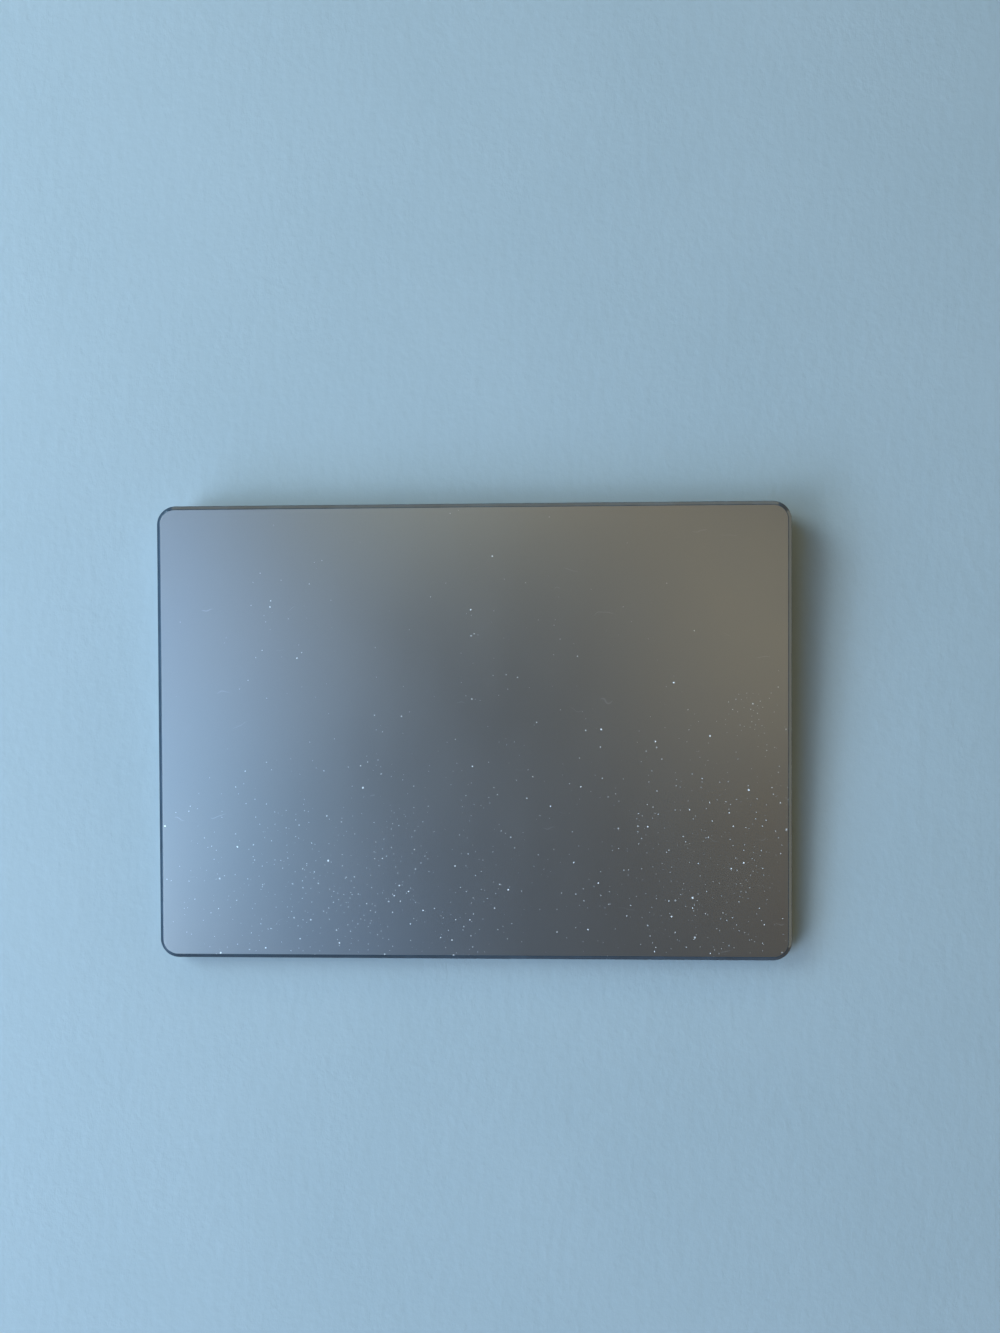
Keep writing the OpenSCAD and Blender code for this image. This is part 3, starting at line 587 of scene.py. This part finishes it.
MAT_COVER = moulded("cover_polymer_moulded", (0.130, 0.135, 0.141), (0.141, 0.146, 0.153), 0.58)
MAT_RUBBER = grained("foot_rubber_matte", (0.028, 0.029, 0.031), (0.044, 0.045, 0.048), 2.0, 0.78, relief=0.012, fine=0.16)


def build_cover():
    def ring(inset, z):
        return flat(rrect(150 - 2 * inset, 104.9 - 2 * inset, 3 - inset), z)

    rings = [ring(2.0, 0.6), ring(0.5, 0.6), ring(0.18, 0.6)]
    for i in range(1, 6):
        a = math.pi / 2 * i / 5
        rings.append(ring(0.18 * (1 - math.sin(a)), 0.6 + 0.18 * (1 - math.cos(a))))
    rings += [ring(0, 1.42), ring(0.08, 1.5), ring(2.0, 1.5)]
    bm = bmesh.new()
    loft(bm, rings)
    o = piece("bottom_cover_fine", bm, [MAT_COVER])

    def pocket(x, y):
        steps = ((4.75, 0.0), (4.75, 0.6), (4.6, 0.72), (4.6, 0.9), (1.6, 0.9), (1.6, 1.3), (0.88, 1.3), (0.88, 2.0))
        rings = [flat(circle(r, x, y, 72), z) for r, z in steps]
        return lambda bm: loft(bm, rings)

    boolean(o, "DIFFERENCE", [pocket(x, y) for x, y in FEET], [MAT_COVER])
    dress(o, "base", "bottom_cover", 30)


def build_feet():
    bm = bmesh.new()
    for x, y in FEET:
        profile = [(0.0, 0.0), (2.2, 0.0), (3.9, 0.0)]
        for i in range(1, 9):
            a = math.pi / 2 * i / 8
            profile.append((3.98 + 0.52 * math.sin(a), 0.45 * (1 - math.cos(a))))
        profile += [(4.5, 0.80), (4.42, 0.88), (2.0, 0.88), (0.0, 0.88)]
        lathe(bm, profile, x, y, 80)
    piece("rubber_feet_fine", bm, [MAT_RUBBER], "base", "rubber_feet", 40)


build_cover()
build_feet()

# ---------------------------------------------------------------- power switch and charging port

MAT_KNOB = blasted_aluminium("aluminium_knob", (0.34, 0.35, 0.365), (0.41, 0.42, 0.435), 0.38)
MAT_STEM = grained("knob_stem_resin", (0.03, 0.03, 0.032), (0.05, 0.05, 0.052), 1.0, 0.5, relief=0.004)


def build_knob():
    def pill(inset):
        return [(x + KNOB_X, z + PORT_Z) for x, z in rrect(KNOB_W - 2 * inset, 2.5 - 2 * inset, 1.23 - inset, 18, 0, 0, 0)]

    rings = [upright(pill(0.5), REAR_Y - 0.55), upright(pill(0.05), REAR_Y - 0.55), upright(pill(0), REAR_Y - 0.5), upright(pill(0), REAR_Y - 0.26)]
    bands = [0, 0, 0]
    for i in range(1, 7):
        a = math.pi / 2 * i / 6
        rings.append(upright(pill(0.16 * (1 - math.cos(a))), REAR_Y - 0.26 + 0.16 * math.sin(a)))
        bands.append(1 if 1 < i < 6 else 0)
    rings.append(upright(pill(0.5), REAR_Y - 0.1)); bands.append(0)
    bm = bmesh.new()
    loft(bm, rings, bands)
    mats = [MAT_KNOB, MAT_CUT, MAT_STEM]
    o = piece("switch_knob_fine", bm, mats)

    def stem(bm):
        plan = [(x + STEM_X, z + PORT_Z) for x, z in rrect(STEM_W, STEM_H, 0.12, 4, 0, 0, 0)]
        loft(bm, [upright(plan, REAR_Y - 2.9), upright(plan, REAR_Y - 0.4)], [2], (2, 2))

    def groove(dx):
        ring = circle(0.16, KNOB_X + dx, REAR_Y - 0.085, 28)
        return lambda bm: loft(bm, [flat(ring, PORT_Z - 0.82), flat(ring, PORT_Z + 0.82)], [0], (0, 0))

    boolean(o, "UNION", [stem], mats)
    boolean(o, "DIFFERENCE", [groove(dx) for dx in (-0.9, 0.0, 0.9)], mats)
    dress(o, "power_switch", "switch_knob", 30)


MAT_PORT = grained("port_tube_steel", (0.50, 0.51, 0.52), (0.64, 0.65, 0.66), 1.2, 0.30, metal=1.0, relief=0.004, fine=0.10, along=(1, 0.2, 1))


def build_port():
    def pill(w, h, y):
        return upright([(x, z + PORT_Z) for x, z in rrect(w, h, h / 2 - 0.02, 16, 0, 0, 0)], y)

    y0, y1 = REAR_Y - 7.55, REAR_Y - 0.2
    rings = [pill(8.94, 3.26, y0), pill(8.94, 3.26, y1 - 0.15)]
    for i in range(1, 9):
        a = math.pi * i / 8
        g = 0.30 - 0.30 * (1 - math.cos(a)) / 2
        rings.append(pill(8.34 + 2 * g, 2.66 + 2 * g, y1 - 0.15 + 0.15 * math.sin(a)))
    rings.append(pill(8.34, 2.66, y0))
    bm = bmesh.new()
    loft(bm, rings, closed=True)
    piece("port_shell_fine", bm, [MAT_PORT], "base", "port_shell", 40)


build_knob()
build_port()

# ---------------------------------------------------------------- inner pieces: the modelled solids with their own finishes


def circuit():
    g = Mat("circuit_board_green", IOR=1.5)
    at = g.place()
    cells = g.node("TexVoronoi", {"Vector": g.stretch(at, 1, 1, 0), "Scale": 0.55, "Randomness": 0.75}, voronoi_dimensions="2D", distance="MANHATTAN", feature="F1")
    lines = g.node("TexWave", {"Vector": at, "Scale": 0.35, "Distortion": 6.0, "Detail": 0.0, "Detail Scale": 0.25}, wave_type="BANDS", bands_direction="DIAGONAL").outputs["Fac"]
    # tracks and pads lie on the two faces and stay off the sawn edges
    face = g.node("SeparateXYZ", {0: g.node("TexCoord").outputs["Normal"]}).outputs[2]
    face = g.spread(g.calc("ABSOLUTE", face), 0.6, 0.8, 0.0, 1.0)
    track = g.calc("MULTIPLY", face, g.spread(lines, 0.72, 0.80, 0.0, 1.0))
    pad = g.calc("MULTIPLY", face, g.spread(cells.outputs["Distance"], 0.16, 0.20, 1.0, 0.0))
    cloud = g.noise(at, 9.0, 3.0, 0.5)
    mask = g.mix(g.spread(cloud, 0.3, 0.7, 0.0, 1.0), (0.012, 0.062, 0.040), (0.018, 0.082, 0.052))
    colour = g.mix(pad, g.mix(track, mask, (0.030, 0.130, 0.075)), (0.62, 0.46, 0.20))
    return g.finish(colour, g.spread(cloud, 0.3, 0.7, 0.32, 0.44), g.bump(g.calc("ADD", track, pad), 0.015, 0.7), g.calc("MULTIPLY", pad, 0.9))


def ribbon():
    g = Mat("flex_film_amber", IOR=1.55)
    at = g.place()
    lines = g.node("TexWave", {"Vector": at, "Scale": 0.62, "Distortion": 0.4, "Detail": 1.0}, wave_type="BANDS", bands_direction="X").outputs["Fac"]
    cloud = g.noise(at, 4.0, 3.0, 0.5)
    film = g.mix(g.spread(cloud, 0.3, 0.7, 0.0, 1.0), (0.40, 0.19, 0.04), (0.52, 0.27, 0.07))
    colour = g.mix(g.spread(lines, 0.60, 0.75, 0.0, 0.7), film, (0.26, 0.11, 0.03))
    return g.finish(colour, g.spread(cloud, 0.3, 0.7, 0.25, 0.38), g.bump(lines, 0.01, 0.5))


def winding():
    g = Mat("copper_winding", Metallic=1.0)
    at = g.place()
    turns = g.node("TexWave", {"Vector": at, "Scale": 1.9, "Distortion": 0.25, "Detail": 1.0}, wave_type="BANDS", bands_direction="Y", wave_profile="SIN").outputs["Fac"]
    cloud = g.noise(at, 1.5, 3.0, 0.5)
    colour = g.mix(g.spread(cloud, 0.3, 0.7, 0.0, 1.0), (0.50, 0.19, 0.07), (0.66, 0.29, 0.12))
    # the grooves between turns are darkened: painted shade between the wires
    colour = g.mix(g.spread(turns, 0.0, 0.25, 0.75, 0.0), colour, (0.10, 0.035, 0.015))
    return g.finish(colour, g.spread(cloud, 0.3, 0.7, 0.22, 0.34), g.bump(turns, 0.06, 0.9))


def pouch():
    g = Mat("battery_wrap_film", IOR=1.5)
    at = g.place()
    crease = g.noise(g.stretch(at, 1, 0.4, 1, 0.4), 5.0, 5.0, 0.6)
    cloud = g.noise(at, 14.0, 3.0, 0.5, 6.0)
    colour = g.mix(g.spread(cloud, 0.3, 0.7, 0.0, 1.0), (0.036, 0.038, 0.041), (0.056, 0.058, 0.062))
    return g.finish(colour, g.spread(crease, 0.3, 0.7, 0.28, 0.42), g.bump(crease, 0.06, 0.8))


PCB, FLEX, COIL, POUCH = circuit(), ribbon(), winding(), pouch()
STEEL = grained("plate_steel_rolled", (0.48, 0.49, 0.50), (0.60, 0.61, 0.62), 2.0, 0.34, metal=1.0, relief=0.006, fine=0.12, along=(0.08, 1, 1))
SPRING = grained("spring_steel_polished", (0.58, 0.59, 0.60), (0.70, 0.71, 0.72), 2.0, 0.22, metal=1.0, relief=0.003, fine=0.10, along=(0.08, 1, 1))
SCREW = grained("screw_steel_plated", (0.28, 0.29, 0.30), (0.40, 0.41, 0.42), 0.6, 0.32, metal=1.0, relief=0.004, fine=0.08)
CHIP = grained("chip_resin_matte", (0.028, 0.028, 0.031), (0.045, 0.045, 0.049), 0.8, 0.62, relief=0.006, fine=0.08)
SOCKET = grained("connector_resin_ivory", (0.70, 0.67, 0.58), (0.80, 0.77, 0.68), 1.5, 0.48, relief=0.004, fine=0.12)
FILM = grained("bond_film_clear", (0.70, 0.70, 0.66), (0.80, 0.80, 0.76), 12.0, 0.20, relief=0.003, fine=0.8)
GEL = grained("gel_soft", (0.48, 0.56, 0.58), (0.58, 0.65, 0.67), 2.0, 0.26, relief=0.01, fine=0.5)
FOIL = grained("gauge_foil_copper", (0.60, 0.34, 0.10), (0.74, 0.46, 0.17), 0.5, 0.30, metal=0.8, relief=0.006, fine=0.14, along=(0.15, 1, 1))
FERRITE = grained("ferrite_pressed", (0.05, 0.05, 0.055), (0.09, 0.09, 0.096), 0.5, 0.66, relief=0.012, fine=0.10)
STRIP = grained("adhesive_strip_paper", (0.68, 0.65, 0.55), (0.78, 0.75, 0.65), 3.0, 0.70, relief=0.01, fine=0.3)
LEAD = grained("lead_insulation_red", (0.36, 0.045, 0.038), (0.46, 0.075, 0.062), 2.0, 0.40, relief=0.006, fine=0.3)
SHIELD = grained("shield_tinned", (0.58, 0.59, 0.59), (0.70, 0.71, 0.71), 3.0, 0.30, metal=1.0, relief=0.006, fine=0.25)
CERAMIC = grained("antenna_ceramic_fired", (0.66, 0.64, 0.58), (0.76, 0.74, 0.68), 1.5, 0.42, relief=0.004, fine=0.12)
JACKET = grained("coax_jacket_black", (0.024, 0.024, 0.026), (0.038, 0.038, 0.041), 1.0, 0.46, relief=0.006, fine=0.2)
RESIN = grained("port_resin_black", (0.018, 0.018, 0.020), (0.032, 0.032, 0.034), 0.8, 0.42, relief=0.004, fine=0.10)
GOLD = grained("contact_gold_plated", (0.72, 0.50, 0.17), (0.86, 0.64, 0.27), 0.4, 0.22, metal=1.0, relief=0.002, fine=0.06)
GREEN = grained("indicator_green_print", (0.045, 0.42, 0.11), (0.070, 0.54, 0.16), 0.5, 0.40, relief=0.004, fine=0.10)
WAFER = grained("wafer_laminate", (0.22, 0.11, 0.05), (0.30, 0.15, 0.07), 0.6, 0.62, relief=0.008, fine=0.12, along=(0.2, 1, 1))

FINISHES = {
    "glass_bond_film": FILM, "touch_sensor_board": PCB, "sensor_chips": CHIP, "touch_connector": SOCKET,
    "deck_stiffener": STEEL, "haptic_armature": STEEL, "leaf_screws": SCREW, "gauge_flexes": FLEX, "cover_screws": SCREW,
    "haptic_base": STEEL, "haptic_cores": FERRITE, "haptic_coils": COIL, "haptic_screws": SCREW,
    "haptic_flex": FLEX, "battery_cells": POUCH, "battery_adhesive": STRIP, "battery_protection_board": PCB,
    "battery_lead": LEAD, "logic_board": PCB, "board_shield": SHIELD, "board_chips": CHIP,
    "board_connectors": SOCKET, "board_screws": SCREW, "antenna": CERAMIC,
    "antenna_lead": JACKET, "port_tongue": RESIN, "port_contacts": GOLD, "port_body": RESIN,
    "port_board": PCB, "port_connector": SOCKET, "port_bracket": STEEL, "port_screws": SCREW,
    "port_flex": FLEX, "switch_indicator": GREEN, "switch_frame": SHIELD, "switch_wafer": WAFER,
    "switch_screws": SCREW, "switch_flex": FLEX,
}
for node_name, finish in FINISHES.items():
    node = NODES[node_name]
    node.data.materials.clear()
    node.data.materials.append(finish)

# ---------------------------------------------------------------- suspension and deck ribbon

LEAF_X, GEL_X, Z_BOSS, LEAF_T = 69.0, 51.5, -2.8, 0.3
LEAF_YD = (9.0, DECK_LEN - 9.0)


def bending(name, bm, material, node, cuts=()):
    """A piece that is cut, smooth-shaded, baked into the frame and put in place of its CAD node."""
    o = piece(name, bm, [material])
    if cuts:
        boolean(o, "DIFFERENCE", cuts, [material])
    for p in o.data.polygons:
        p.use_smooth = True
    o.data.set_sharp_from_angle(angle=math.radians(32))
    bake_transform(o)
    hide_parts(node)


def leaf_outline():
    """(place along the leaf, half its width) from the gel end to the screwed end."""
    turn = [math.pi / 2 * i / 6 for i in range(7)]

    def lobe(mid, length):
        arc = [(1.5 * (1 - math.cos(a)), 3.0 + 1.5 * math.sin(a)) for a in turn]
        return [(mid - length / 2 + x, w) for x, w in arc] + [(mid + length / 2 - x, w) for x, w in arc[::-1]]

    first, last = lobe(GEL_X, 10.0), lobe(LEAF_X, 13.0)
    x0, x1 = first[-1][0], last[0][0]
    fillet = [(0.6 * (1 - math.cos(a)), 3.0 - 0.6 * math.sin(a)) for a in turn[1:]]
    neck = [(x0 + d, w) for d, w in fillet]
    neck += [(x0 + 0.6 + (x1 - x0 - 1.2) * i / 14, 2.4) for i in range(1, 14)]
    neck += [(x1 - d, w) for d, w in fillet[::-1]]
    return first + neck + last


def build_suspension():
    for side, hand in ((1, "right"), (-1, "left")):
        def bar(bm, stations, yd, low, high, e):
            rings = []
            for x, w in stations:
                section = ((-w, low + e), (-w + e, low), (w - e, low), (w, low + e), (w, high - e), (w - e, high), (-w + e, high), (-w, high - e))
                rings.append([deck(side * x, yd + y, Z_BOSS + z) for y, z in section])
            loft(bm, rings)

        bm, holes = bmesh.new(), []
        for yd in LEAF_YD:
            bar(bm, leaf_outline(), yd, 0.0, LEAF_T, 0.05)
            for dx in (-3.3, 3.3):
                rings = [[deck(px, yd + py, z) for px, py in circle(0.83, side * LEAF_X + dx, 0, 40)] for z in (Z_BOSS - 0.3, Z_BOSS + 0.6)]
                holes.append(lambda bm, rings=rings: loft(bm, rings))
        bending("leaf_springs_" + hand, bm, SPRING, "leaf_springs", holes)

        bm = bmesh.new()
        for yd in LEAF_YD:
            bar(bm, [(57.5 + 4.0 * i / 12, 1.7) for i in range(13)], yd, -0.08, 0.0, 0.02)
        bending("strain_gauges_" + hand, bm, FOIL, "strain_gauges")

    # the gel pads: rings set on the leaves
    bm = bmesh.new()
    for side in (1, -1):
        for yd in LEAF_YD:
            sole = Z_BOSS + LEAF_T
            steps = ((2.4, 0.0), (3.5, 0.0), (3.57, 0.03), (3.6, 0.09), (3.6, 0.15), (3.6, 0.21), (3.57, 0.27), (3.5, 0.3), (2.4, 0.3))
            loft(bm, [[deck(px, yd + py, sole + z) for px, py in circle(r, side * GEL_X, 0, 64)] for r, z in steps])
    bending("gel_pads_fine", bm, GEL, "gel_pads")


def build_deck_ribbon():
    # a smooth run from the deck's connector down to the main board
    level, board = -2.26, 3.6
    (_, ya, za), (_, yb, zb) = deck(0, 61.8, level), deck(0, 62.8, level)
    knots = [(ya, za, TAN), (yb, zb, 0.0), (yb + 1.1, zb - 0.45, -0.45), (yb + 4.5, board + 0.6, -0.2), (12.98, board + 0.45, 0.0)]
    path = []
    for (y0, z0, m0), (y1, z1, m1) in zip(knots, knots[1:]):
        for i in range(12):
            t, h = i / 12, y1 - y0
            z = (2 * t**3 - 3 * t**2 + 1) * z0 + (t**3 - 2 * t**2 + t) * h * m0 + (3 * t**2 - 2 * t**3) * z1 + (t**3 - t**2) * h * m1
            path.append((y0 + t * h, z))
    path.append(knots[-1][:2])
    rings = []
    for i, (y, z) in enumerate(path):
        (y0, z0), (y1, z1) = path[max(i - 1, 0)], path[min(i + 1, len(path) - 1)]
        n = Vector((z0 - z1, y1 - y0)).normalized() * 0.06
        rings.append([(x, y + k * n[0], z + k * n[1]) for x, k in ((47.8, -1), (56.2, -1), (56.2, 1), (47.8, 1))])
    bm = bmesh.new()
    loft(bm, rings)
    bending("touch_flex_fine", bm, FLEX, "touch_flex")


build_suspension()
build_deck_ribbon()

# ---------------------------------------------------------------- floor


def painted_top():
    g = Mat("floor_paint", IOR=1.45, Specular_IOR_Level=0.15)
    at = g.place()
    cloud = g.noise(at, 60.0, 4.0, 0.5)
    fine = g.noise(at, 1.6, 3.0, 0.55, 3.0)
    roller = g.noise(g.stretch(at, 1, 0.55, 1, 0.2), 3.2, 4.0, 0.6, 12.0)
    both = g.calc("ADD", g.calc("MULTIPLY", cloud, 0.6), g.calc("ADD", g.calc("MULTIPLY", fine, 0.2), g.calc("MULTIPLY", roller, 0.2)))
    near = g.mix(g.spread(both, 0.3, 0.7, 0.0, 1.0), (0.268, 0.330, 0.359), (0.290, 0.351, 0.382))
    relief = g.bump(g.calc("ADD", g.calc("MULTIPLY", fine, 0.45), roller), 0.12, 1.0)
    g.finish(near, g.spread(cloud, 0.3, 0.7, 0.52, 0.60), relief)
    # far from the pad the paint gives way to the glow of the horizon
    away = g.node("VectorMath", {0: at}, operation="LENGTH").outputs["Value"]
    far = g.spread(away, 240.0, 820.0, 0.0, 1.0, True)
    side = g.spread(g.calc("DIVIDE", g.node("SeparateXYZ", {0: at}).outputs[0], away), -0.8, 0.8, 0.0, 1.0, True)
    glow = g.node("Emission", {"Color": g.mix(side, COOL, WARM), "Strength": 1.0}).outputs[0]
    both = g.node("MixShader", {0: far, 1: g.b.outputs[0], 2: glow}).outputs[0]
    g.put(g.tree.nodes["Material Output"].inputs["Surface"], both)
    return g.m


def build_floor():
    bm = bmesh.new()
    rings = [flat(rrect(w, w, w * 0.2, 8, 0, 0, 0), z) for w, z in ((1000, 0), (4000, 0), (6000, 0))]
    loft(bm, rings, None, (0, None))
    o = piece("floor", bm, [painted_top()])
    for p in o.data.polygons:
        if p.normal.z < 0:
            p.flip()


build_floor()
